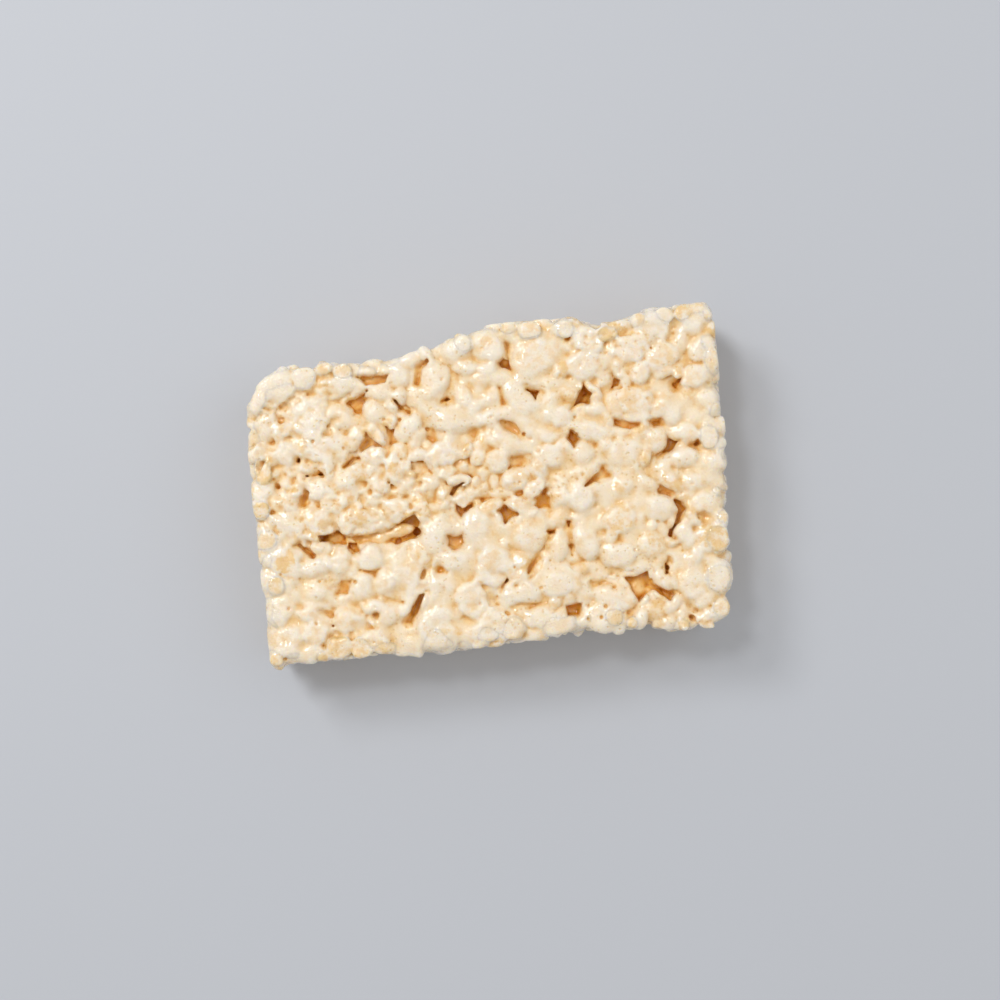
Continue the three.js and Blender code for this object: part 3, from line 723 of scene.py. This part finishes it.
def settled(field):
    """The field without places where two skins would touch at an edge or a point: those are hollowed out."""
    field = field.copy()
    while True:
        inside = field < 0
        cleared = np.zeros(field.shape, bool)
        for whole in range(3):
            near, up, over, far = (corner(knot, whole) for knot in CUBE if knot[whole] == 0)
            crossed = (inside[near] == inside[far]) & (inside[over] == inside[up])
            crossed &= inside[near] != inside[over]
            for here, there in ((near, far), (over, up)):
                shallower = field[here] >= field[there]
                cleared[here] |= crossed & inside[here] & shallower
                cleared[there] |= crossed & inside[here] & ~shallower
        spots = [corner(knot) for knot in CUBE]
        count = sum(inside[spot].astype(np.int8) for spot in spots)
        for first in range(4):
            spot, opposite, beside = spots[first], spots[7 - first], spots[first ^ 1]
            cleared[spot] |= inside[spot] & inside[opposite] & (count == 2)
            cleared[beside] |= ~inside[spot] & ~inside[opposite] & (count == 6)
        if not cleared.any():
            return field
        field[cleared] = JUST_OUTSIDE


def skin(field, axes):
    """The closed skin round where a field is less than nothing: one point in each cell that it passes."""
    inside = field < 0
    first = inside[corner(CUBE[0])]
    crossed = np.zeros(first.shape, bool)
    for knot in CUBE[1:]:
        crossed |= inside[corner(knot)] != first
    cells = np.argwhere(crossed)
    number = np.full(first.shape, -1, np.int32)
    number[crossed] = np.arange(len(cells))
    values = [field[tuple((cells + knot).T)] for knot in CUBE]
    total = np.zeros((len(cells), 3))
    count = np.zeros(len(cells))
    for a in range(8):
        for b in range(a + 1, 8):
            step = np.subtract(CUBE[b], CUBE[a])
            if np.abs(step).sum() != 1:
                continue
            cut = (values[a] < 0) != (values[b] < 0)
            share = values[a][cut] / (values[a][cut] - values[b][cut])
            total[cut] += np.array(CUBE[a]) + share[:, None] * step
            count[cut] += 1
    size = np.array([axis[1] - axis[0] for axis in axes])
    places = np.array([axis[0] for axis in axes]) + (cells + total / count[:, None]) * size
    quads = []
    for axis in range(3):
        one, two = (axis + 1) % 3, (axis + 2) % 3
        low = [slice(1, -1)] * 3
        high = [slice(1, -1)] * 3
        low[axis], high[axis] = slice(0, -1), slice(1, None)
        here, there = inside[tuple(low)], inside[tuple(high)]
        for leaving in (True, False):
            at = np.argwhere(here & ~there if leaving else ~here & there)
            at[:, one] += 1
            at[:, two] += 1
            ring = []
            for back_one, back_two in ((1, 1), (0, 1), (0, 0), (1, 0)):
                spot = at.copy()
                spot[:, one] -= back_one
                spot[:, two] -= back_two
                ring.append(number[tuple(spot.T)])
            quads.append(np.stack(ring if leaving else ring[::-1], axis=1))
    return places, np.concatenate(quads)


def largest(places, quads):
    """Only the faces and places of the largest connected skin."""
    label = np.arange(len(places))
    while True:
        low = label[quads].min(axis=1)
        lower = label.copy()
        np.minimum.at(lower, quads.ravel(), np.repeat(low, 4))
        lower = lower[lower]
        if (lower == label).all():
            break
        label = lower
    names, sizes = np.unique(label[quads[:, 0]], return_counts=True)
    kept = label == names[sizes.argmax()]
    renumber = np.cumsum(kept) - 1
    return places[kept], renumber[quads[kept[quads[:, 0]]]]


MOST_FACES = 195000  # triangles a piece
MM = 0.001


def thinned(name, places, quads):
    """A mesh of the skin, with fewer faces where it is plain."""
    mesh = bpy.data.meshes.new(name)
    mesh.vertices.add(len(places))
    mesh.vertices.foreach_set("co", (places * MM).astype(np.float32).ravel())
    mesh.loops.add(quads.size)
    mesh.loops.foreach_set("vertex_index", quads.ravel().astype(np.int32))
    mesh.polygons.add(len(quads))
    mesh.polygons.foreach_set("loop_start", np.arange(0, quads.size, 4, dtype=np.int32))
    mesh.update(calc_edges=True)
    mesh.validate()
    piece = bpy.data.objects.new(name, mesh)
    bpy.context.collection.objects.link(piece)
    triangles = 2 * len(quads)
    if triangles > MOST_FACES:
        thin = piece.modifiers.new("fewer faces", "DECIMATE")
        thin.ratio = MOST_FACES / triangles
        seen = piece.evaluated_get(bpy.context.evaluated_depsgraph_get())
        piece.data = bpy.data.meshes.new_from_object(seen)
        piece.modifiers.clear()
    piece.data.polygons.foreach_set("use_smooth", np.ones(len(piece.data.polygons), bool))
    return piece


def blurred(field, cells):
    """A field evened out over a box that goes so many cells each way."""
    for axis in range(3):
        margins = [(0, 0)] * 3
        margins[axis] = (cells + 1, cells)
        total = np.cumsum(np.pad(field, margins, mode="edge"), axis=axis, dtype=np.float64)
        high = np.take(total, range(2 * cells + 1, total.shape[axis]), axis=axis)
        low = np.take(total, range(0, total.shape[axis] - 2 * cells - 1), axis=axis)
        field = ((high - low) / (2 * cells + 1)).astype(np.float32)
    return field


def read_at(field, axes, places):
    """A field between the knots of its grid."""
    spot = [(p - axis[0]) / (axis[1] - axis[0]) for p, axis in zip(places.T, axes)]
    base = [np.clip(np.floor(s).astype(int), 0, len(axis) - 2) for s, axis in zip(spot, axes)]
    part = [s - b for s, b in zip(spot, base)]
    value = np.zeros(len(places))
    for knot in CUBE:
        weight = math.prod(p if k else 1 - p for p, k in zip(part, knot))
        value += weight * field[tuple(b + k for b, k in zip(base, knot))]
    return value


HOLLOW_ACROSS = 1.2  # how far round a place its hollow and its crease are judged
CREASE_ACROSS = 0.5


def paint(piece, axes, block, step):
    """Writes on each point of a piece what the material needs to know there.

    Toast is how toasted the rice is, web how far the nearest grain, depth how deep below the plain block, and
    hollow and crease how much lower the skin lies than what is round it.
    """
    body = block["body"]
    fields = {name: block[name] for name in ("toast", "web", "depth")}
    fields["hollow"] = body - blurred(body, round(HOLLOW_ACROSS / step))
    fields["crease"] = body - blurred(body, round(CREASE_ACROSS / step))
    places = np.empty(len(piece.data.vertices) * 3, np.float32)
    piece.data.vertices.foreach_get("co", places)
    places = places.reshape(-1, 3) / MM
    for name, field in fields.items():
        layer = piece.data.attributes.new(name, "FLOAT", "POINT")
        layer.data.foreach_set("value", read_at(field, axes, places).astype(np.float32))


GRID_X = (-51, 51)
GRID_Y = (-36, 36)
ROOM = 1.2  # how far past the block the grids go up and down


def grid(low, high, step):
    """The places of a grid over the whole block, from one height to another."""
    return [np.arange(a, b + step, step, dtype=np.float32) for a, b in (GRID_X, GRID_Y, (low, high))]


CUT_AT = 15.0  # the hidden underside of the top piece
UNDER = 2.0  # how far the two pieces reach under each other's lumps
DIVE = 0.4  # how steeply each sinks away where it is under the other

top_axes = grid(CUT_AT - 2, THICKNESS + ROOM, cell)
top_treat = treat(top_axes)
not_top = top_treat["owner"]
top_field = np.maximum(top_treat["body"] + DIVE * np.clip(not_top, 0, None), not_top - UNDER)
top_field = np.maximum(top_field, CUT_AT - top_axes[2][None, None, :])
pressed_top = thinned("pressed_top", *largest(*skin(settled(top_field), top_axes)))
paint(pressed_top, top_axes, top_treat, cell)

# The material of the whole treat: marshmallow over toasted rice, with a gloss that lies on it in patches, and
# with painted highlights on the crowns and painted shade in the hollows, the seams and the pits.
# The noise scales are swells to the metre.
MARSHMALLOW = (0.94, 0.79, 0.60, 1)
RICE = (0.86, 0.60, 0.28, 1)
# Painted shade for the hollows, and for deep down.
PAINTED_HOLLOW_SHADE_GOLD = (0.97, 0.85, 0.59, 1)
PAINTED_DEEP_SHADE_AMBER = (0.93, 0.71, 0.27, 1)
# A painted highlight for the crowns.
PAINTED_HIGHLIGHT_WHITE = (0.96, 0.90, 0.84, 1)
# Painted shade for the pits.
PAINTED_PIT_SHADE = (0.90, 0.80, 0.60, 1)
# Painted shade for the seams between the lumps.
PAINTED_SEAM_SHADE = (0.86, 0.67, 0.40, 1)

marshmallow_rice = bpy.data.materials.new("marshmallow_rice")
marshmallow_rice.use_nodes = True
nodes = marshmallow_rice.node_tree.nodes
links = marshmallow_rice.node_tree.links
shader = nodes["Principled BSDF"]
local_place = nodes.new("ShaderNodeTexCoord").outputs["Object"]


def give(socket, value):
    """Sets a socket to a value, or links it to the socket that the value comes from."""
    if isinstance(value, bpy.types.NodeSocket):
        links.new(value, socket)
    else:
        socket.default_value = value


# The mix node has sockets for numbers, places and colours under the same names: these are the ones for
# colours, by their number.
MIX_AMOUNT, MIX_LOW, MIX_HIGH, MIX_OUT = 0, 6, 7, 2


def mixed(amount, low, high, blend="MIX"):
    """A colour between two others."""
    node = nodes.new("ShaderNodeMix")
    node.data_type = "RGBA"
    node.blend_type = blend
    for number, value in ((MIX_AMOUNT, amount), (MIX_LOW, low), (MIX_HIGH, high)):
        give(node.inputs[number], value)
    return node.outputs[MIX_OUT]


def combined(operation, *values):
    """What becomes of numbers that are added, multiplied or compared."""
    node = nodes.new("ShaderNodeMath")
    node.operation = operation
    for socket, value in zip(node.inputs, values):
        give(socket, value)
    return node.outputs[0]


def mapped(value, low, high, to_low=0.0, to_high=1.0):
    """A number that goes smoothly from to_low to to_high while the value goes from low to high."""
    node = nodes.new("ShaderNodeMapRange")
    node.interpolation_type = "SMOOTHSTEP"
    ends = {"From Min": low, "From Max": high, "To Min": to_low, "To Max": to_high}
    for name, number in {"Value": value, **ends}.items():
        give(node.inputs[name], number)
    return node.outputs[0]


def painted(name):
    """What was written on the points under a name."""
    node = nodes.new("ShaderNodeAttribute")
    node.attribute_name = name
    return node.outputs["Fac"]


def speckle(scale, detail, rough=0.5):
    """Cloudy noise from 0 to 1, with so many swells to the metre."""
    node = nodes.new("ShaderNodeTexNoise")
    for name, value in (("Vector", local_place), ("Scale", scale), ("Detail", detail), ("Roughness", rough)):
        give(node.inputs[name], value)
    return node.outputs["Fac"]


def rippled(height, strength):
    """Which way the face turns, point by point, where a height makes it rough."""
    node = nodes.new("ShaderNodeBump")
    node.inputs["Strength"].default_value = strength
    node.inputs["Distance"].default_value = 0.3 * MM
    give(node.inputs["Height"], height)
    return node.outputs[0]


# Rice colour where a toasted grain has little marshmallow on it.
patches = mapped(speckle(scale=420, detail=5, rough=0.65), 0.35, 0.62)
toasted = combined("MULTIPLY", combined("ADD", 0.15, painted("toast")), combined("ADD", 0.2, patches))
worn = combined("MULTIPLY_ADD", speckle(scale=330, detail=3, rough=0.6), 1.0, -0.5)
bared = mapped(combined("ADD", painted("web"), worn), 0.2, -0.15)
rice_shows = combined("MULTIPLY", toasted, bared)
colour = mixed(rice_shows, MARSHMALLOW, RICE)

# Painted highlight: white on the crowns and the highest places, where the light falls most.
proud = mapped(painted("hollow"), 0.02, -0.35, 0, 0.55)
high = mapped(painted("depth"), 0.75, 0.05, 0, 0.5)
highlight_patches = mapped(speckle(scale=260, detail=4, rough=0.6), 0.3, 0.6, 0.35, 1)
painted_highlight = combined("MULTIPLY", combined("MAXIMUM", proud, high), highlight_patches)
painted_highlight = combined("MULTIPLY", painted_highlight, mapped(rice_shows, 0.15, 0.75, 1, 0.15))
colour = mixed(painted_highlight, colour, PAINTED_HIGHLIGHT_WHITE)

# Painted shade: gold in the hollows, amber deep down and tan in the seams between the lumps, and darker dots
# in the small bubbles of porous grains.
colour = mixed(mapped(painted("hollow"), -0.04, 0.32), colour, PAINTED_HOLLOW_SHADE_GOLD, "MULTIPLY")
hollow_shade = mapped(painted("hollow"), 0.2, 0.65)
deep_shade = mapped(painted("depth"), 1.6, 3.4)
colour = mixed(combined("MAXIMUM", hollow_shade, deep_shade), colour, PAINTED_DEEP_SHADE_AMBER, "MULTIPLY")
colour = mixed(mapped(painted("crease"), 0.04, 0.22), colour, PAINTED_SEAM_SHADE, "MULTIPLY")
bubbles = nodes.new("ShaderNodeTexVoronoi")
bubbles.feature = "SMOOTH_F1"
bubbles.inputs["Scale"].default_value = 900
give(bubbles.inputs["Vector"], local_place)
porous = mapped(speckle(scale=120, detail=2), 0.4, 0.58, 0.15, 1)
pits = combined("MULTIPLY", mapped(bubbles.outputs["Distance"], 0.27, 0.05), porous)
give(shader.inputs["Base Color"], mixed(pits, colour, PAINTED_PIT_SHADE, "MULTIPLY"))

# Light goes a little way in, and the gloss ripples over a finer grain.
shader.inputs["Subsurface Weight"].default_value = 0.6
shader.inputs["Subsurface Radius"].default_value = (0.8, 0.7, 0.4)
shader.inputs["Subsurface Scale"].default_value = 1.5 * MM
shader.inputs["IOR"].default_value = 1.48
give(shader.inputs["Roughness"], mapped(speckle(scale=700, detail=4, rough=0.6), 0.3, 0.7, 0.12, 0.4))
give(shader.inputs["Coat Weight"], mapped(speckle(scale=90, detail=2), 0.4, 0.6, 0.25, 1))
shader.inputs["Coat Roughness"].default_value = 0.05
fine = speckle(scale=2000, detail=2, rough=0.6)
finer = combined("MULTIPLY", speckle(scale=5200, detail=2, rough=0.6), 0.5)
grain = combined("ADD", fine, finer)
pitted = combined("ADD", grain, combined("MULTIPLY", pits, -1.2))
give(shader.inputs["Normal"], rippled(pitted, strength=0.45))
give(shader.inputs["Coat Normal"], rippled(speckle(scale=800, detail=2, rough=0.6), strength=0.4))

pressed_top.data.materials.append(marshmallow_rice)
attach(pressed_top, "root")
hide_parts("crispy_rice_treat")


# The cut sides and the resting face
# The rest of the block below the pressed layer: the four sides that the knife cut, rougher than the top, and
# the face that lay on the pan, pressed flat. The same rice and marshmallow, one mass with the top.
side_cell = cell * 1.25  # the sides are worked out less finely
OVERLAP = 0.5  # how far above the underside of the top piece the hidden face of this one lies
side_axes = grid(-ROOM, THICKNESS + ROOM, side_cell)
side_treat = treat(side_axes)
not_side = -side_treat["owner"]
height = side_axes[2][None, None, :]
side_field = side_treat["body"] + np.where(height > CUT_AT, DIVE * np.clip(not_side, 0, None), 0)
side_field = np.maximum(side_field, np.minimum(not_side - UNDER, height - CUT_AT - OVERLAP))
cut_sides = thinned("cut_sides", *largest(*skin(settled(side_field), side_axes)))
paint(cut_sides, side_axes, side_treat, side_cell)
cut_sides.data.materials.append(marshmallow_rice)
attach(cut_sides, "root")
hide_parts("crispy_rice_treat")


# The floor, the light and the camera
# A plain pale table in a light room. A soft lamp stands behind and to the left, a smaller one nearer the
# middle, and a broad faint one on the right. The camera looks straight down, turned a little as in the
# photo. Lengths are metres here.
FLOOR_SIZE = 6
FLOOR_GREY = (0.54, 0.565, 0.615, 1)
ROOM_WHITE = (1.0, 0.98, 0.95, 1)
ROOM_LIGHT = 0.53
EYE = (0.00174, -0.00307, 0.442)
EYE_TURN = -6  # degrees
LENS = 73.8  # millimetres

bpy.ops.mesh.primitive_plane_add(size=FLOOR_SIZE)
floor = bpy.context.object
floor.name = "floor"
pale = bpy.data.materials.new("pale_floor")
pale.use_nodes = True
pale.node_tree.nodes["Principled BSDF"].inputs["Base Color"].default_value = FLOOR_GREY
pale.node_tree.nodes["Principled BSDF"].inputs["Roughness"].default_value = 0.6
floor.data.materials.append(pale)

world = bpy.data.worlds.new("soft room")
bpy.context.scene.world = world
world.use_nodes = True
world.node_tree.nodes["Background"].inputs["Color"].default_value = ROOM_WHITE
world.node_tree.nodes["Background"].inputs["Strength"].default_value = ROOM_LIGHT


def softbox(name, place, size, power):
    """A square lamp that looks at the treat."""
    light = bpy.data.lights.new(name, "AREA")
    light.size = size
    light.energy = power
    lamp = bpy.data.objects.new(name, light)
    bpy.context.collection.objects.link(lamp)
    lamp.location = place
    lamp.rotation_euler = (-lamp.location).to_track_quat("-Z", "Y").to_euler()


softbox("key", place=(-0.5, 0.55, 0.8), size=0.3, power=3.6)
softbox("window", place=(-0.26, 0.34, 0.95), size=0.16, power=1.9)
softbox("fill", place=(0.6, 0.1, 0.9), size=0.8, power=1.4)

camera = bpy.data.objects.new("camera", bpy.data.cameras.new("camera"))
bpy.context.collection.objects.link(camera)
camera.location = EYE
camera.rotation_euler = (0, 0, math.radians(EYE_TURN))
camera.data.lens = LENS
camera.data.clip_start = 0.01
bpy.context.scene.camera = camera
bpy.context.scene.view_settings.view_transform = "Standard"
